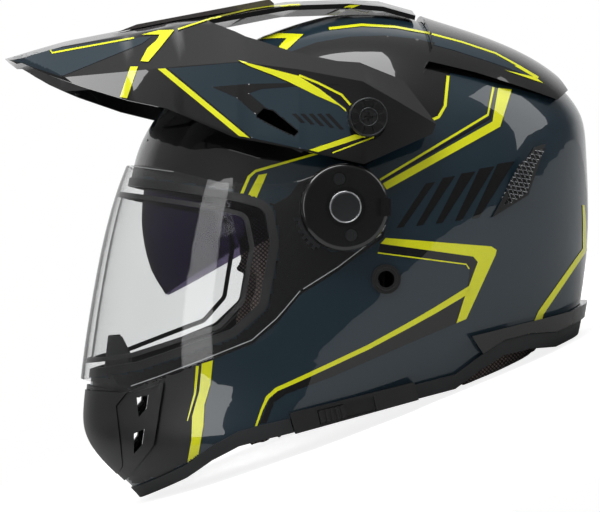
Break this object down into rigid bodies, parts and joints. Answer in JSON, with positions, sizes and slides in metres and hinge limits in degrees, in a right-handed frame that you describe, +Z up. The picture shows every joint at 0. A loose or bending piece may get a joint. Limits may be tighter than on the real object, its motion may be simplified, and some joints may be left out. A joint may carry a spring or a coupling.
{
  "type": "dual sport helmet",
  "caption": "Full-face helmet with a sun peak, a flip-up clear shield, a drop-down tinted sun visor and a padded, removable lining.",
  "frame": {"origin": "centre of the bottom of the helmet's box as it stands on its chin, neck roll and tail", "axes": "-X is the way the face looks, +Y is the wearer's right, +Z is up from the table"},
  "size_m": [0.3931, 0.2744, 0.3136],
  "materials": {
    "gloss_shell": "gloss clear-coated dark navy",
    "trim_rubber": "satin",
    "foam": "beaded foam",
    "liner_cloth": "open mesh",
    "black_rubber": "matte",
    "satin_chin": "satin",
    "black_plastic": "satin",
    "pod_plastic": "satin gloss",
    "clear_shield": "clear",
    "lens_seal": "translucent grey",
    "smoke_visor": "smoke tint",
    "fin_grey": "fine texture",
    "webbing": "woven",
    "steel": "satin",
    "bright_mesh": "bright"
  },
  "bodies": {
    "shell_body": {"shell": "gloss_shell", "edge_trim": "trim_rubber", "eyeport_gasket": "trim_rubber", "eps_liner": "foam", "crown_liner": "liner_cloth", "neck_roll": "liner_cloth", "breath_guard": "black_rubber", "chin_centre_plate": "satin_chin", "chin_plate": "satin_chin", "chin_vent_frame": "black_plastic", "crown_fairing": "gloss_shell", "rear_lip": "gloss_shell", "slider_track": "black_plastic", "strap_left": "webbing", "strap_right": "webbing", "cheek_pad_left": "liner_cloth", "cheek_pad_right": "liner_cloth", "brow_vent_left": "gloss_shell", "brow_vent_right": "gloss_shell", "rear_vent_frame_left": "black_plastic", "rear_vent_frame_right": "black_plastic", "rear_vent_mesh_left": "bright_mesh", "rear_vent_mesh_right": "bright_mesh", "port_grommet_left": "black_plastic", "port_grommet_right": "black_plastic", "base_plate_left": "black_plastic", "base_plate_right": "black_plastic", "pivot_cover_left": "pod_plastic", "pivot_cover_right": "pod_plastic", "pivot_cap_left": "pod_plastic", "pivot_cap_right": "pod_plastic", "pivot_screws_left": "steel", "pivot_screws_right": "steel", "peak_mount_left": "black_plastic", "peak_mount_right": "black_plastic", "strap_rivet_left": "steel", "strap_rivet_right": "steel"},
    "shield_body": {"shield": "clear_shield", "inner_lens": "clear_shield", "lens_seal": "lens_seal", "shield_detent_left": "bright_mesh", "shield_detent_right": "bright_mesh"},
    "sun_visor_body": {"sun_visor": "smoke_visor"},
    "slider_body": {"visor_slider": "black_plastic"},
    "peak_body": {"peak": "gloss_shell", "peak_fin": "fin_grey"},
    "knob_left_body": {"peak_knob_left": "pod_plastic"},
    "knob_right_body": {"peak_knob_right": "pod_plastic"},
    "latch_left_body": {"shield_latch_left": "pod_plastic"},
    "latch_right_body": {"shield_latch_right": "pod_plastic"},
    "shutter_body": {"chin_vent_shutter": "black_plastic"},
    "ring_lower_body": {"d_ring_lower": "steel"},
    "ring_upper_body": {"d_ring_upper": "steel"}
  },
  "joints": [
    {"name": "shield_hinge", "type": "hinge", "parent": "shell_body", "child": "shield_body", "pos_m": [0.01317, 0, 0.13992], "axis": [0, 1, 0], "range_deg": [0, 40]},
    {"name": "sun_visor_hinge", "type": "hinge", "parent": "shell_body", "child": "sun_visor_body", "pos_m": [-0.00828, 0, 0.14315], "axis": [0, 1, 0], "range_deg": [0, 38]},
    {"name": "visor_slider_slide", "type": "slide", "parent": "shell_body", "child": "slider_body", "axis": [0.9923, 0, -0.1235], "range_m": [0, 0.02]},
    {"name": "peak_tilt", "type": "hinge", "parent": "shell_body", "child": "peak_body", "pos_m": [0.04723, 0, 0.18903], "axis": [0, 1, 0], "range_deg": [-3, 3]},
    {"name": "knob_left_spin", "type": "hinge", "parent": "shell_body", "child": "knob_left_body", "pos_m": [0.04723, -0.119, 0.18903], "axis": [0, -1, 0], "range_deg": [-180, 180]},
    {"name": "knob_right_spin", "type": "hinge", "parent": "shell_body", "child": "knob_right_body", "pos_m": [0.04723, 0.119, 0.18903], "axis": [0, 1, 0], "range_deg": [-180, 180]},
    {"name": "latch_left_press", "type": "slide", "parent": "shell_body", "child": "latch_left_body", "axis": [-0.9348, 0, 0.3551], "range_m": [0, 0.002], "stiffness_N_per_m": 400, "springref_m": -0.001},
    {"name": "latch_right_press", "type": "slide", "parent": "shell_body", "child": "latch_right_body", "axis": [-0.9348, 0, 0.3551], "range_m": [0, 0.002], "stiffness_N_per_m": 400, "springref_m": -0.001},
    {"name": "chin_vent_slide", "type": "slide", "parent": "shell_body", "child": "shutter_body", "axis": [-0.3551, 0, -0.9348], "range_m": [0, 0.006]},
    {"name": "ring_lower_swing", "type": "hinge", "parent": "shell_body", "child": "ring_lower_body", "pos_m": [0.01052, -0.07699, 0.02369], "axis": [0.9348, 0, -0.3551], "range_deg": [-25, 25]},
    {"name": "ring_upper_swing", "type": "hinge", "parent": "shell_body", "child": "ring_upper_body", "pos_m": [0.01904, -0.07699, 0.04612], "axis": [0.9348, 0, -0.3551], "range_deg": [0, 25]}
  ],
  "couplings": [
    {"joint": "visor_slider_slide", "follows": "sun_visor_hinge", "m_per_rad": 0.030154}
  ]
}
